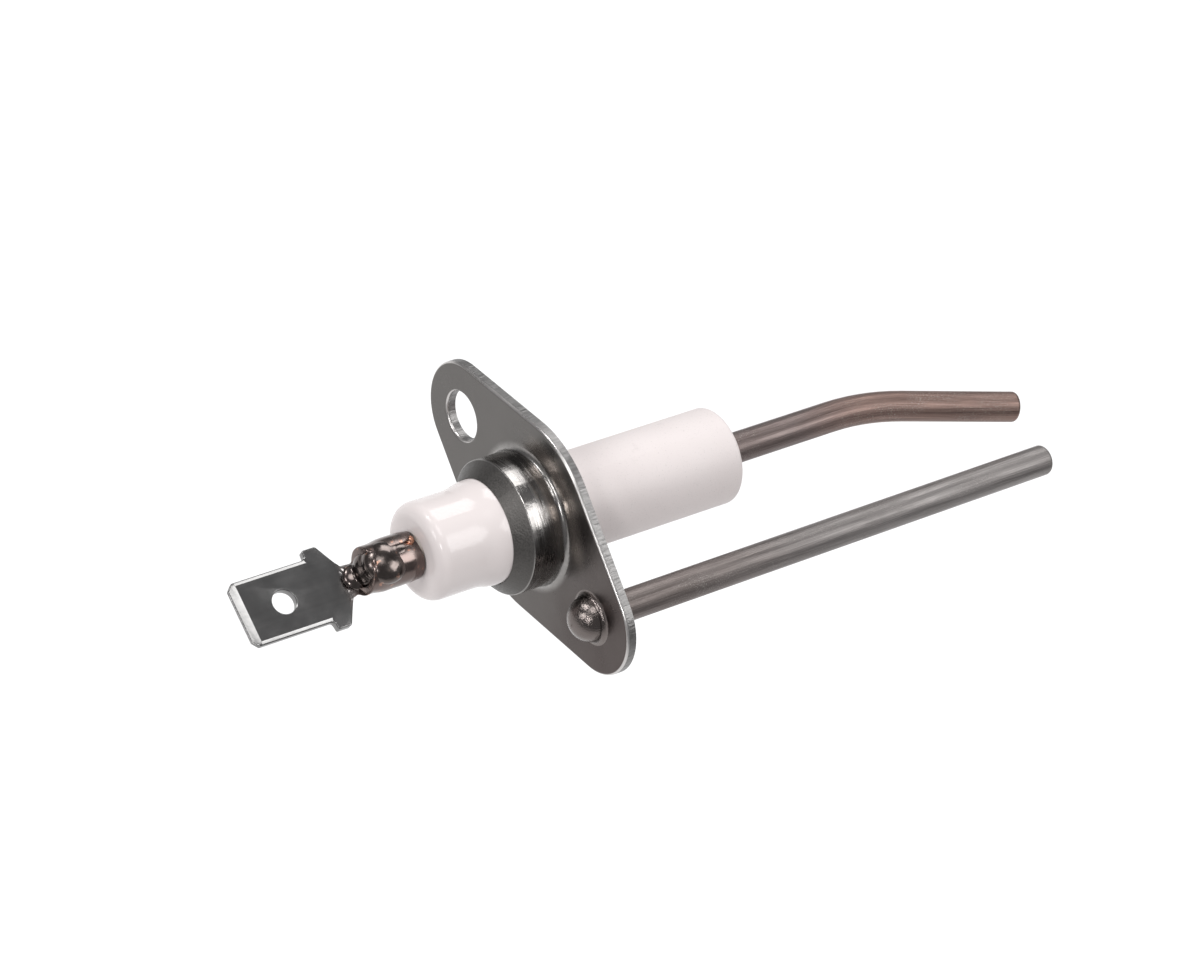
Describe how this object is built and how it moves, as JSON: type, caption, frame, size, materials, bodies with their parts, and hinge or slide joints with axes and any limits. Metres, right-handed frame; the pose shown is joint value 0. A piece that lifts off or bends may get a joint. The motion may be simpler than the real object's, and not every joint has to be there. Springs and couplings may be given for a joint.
{
  "type": "ignition electrode",
  "caption": "Flanged ignition electrode: ceramic insulator in a swaged steel plate, bent spark rod, straight ground rod and flat push-on terminal.",
  "frame": {"origin": "on the insulator's axis, in the plane of the flange's front (seating) face", "axes": "+X along the insulator towards the spark tips and out of the seating face, +Y towards the mounting hole, so the ground rod lies at -Y, and +Z the side that the terminal's flat tab faces"},
  "size_m": [0.086, 0.0346, 0.02],
  "materials": {
    "glazed_alumina": "off-white alumina, glossy glaze on the rear barrel, matte front barrel",
    "plated_steel": "nickel-plated stamped sheet steel, satin with sharp highlights",
    "electrode_alloy": "heat-resistant alloy wire, drawn, with a brown oxide tint beyond the bend",
    "ground_alloy": "heat-resistant alloy wire, matte grey with faint drawing lines",
    "terminal_steel": "nickel-plated strip, dark satin, heat-tinted at the rolled barrel",
    "braze_copper": "copper braze, dull with a bright spot",
    "cement": "rough grey-white refractory cement",
    "packing_copper": "soft copper wire ring"
  },
  "bodies": {
    "root": {"mounting_flange": "plated_steel", "ceramic_insulator": "glazed_alumina", "spark_electrode_rod": "electrode_alloy", "ground_electrode_rod": "ground_alloy", "spade_terminal": "terminal_steel", "terminal_braze": "braze_copper", "rear_cement_plug": "cement", "front_cement_plug": "cement", "rear_packing_ring": "packing_copper", "front_packing_ring": "packing_copper"}
  },
  "joints": []
}
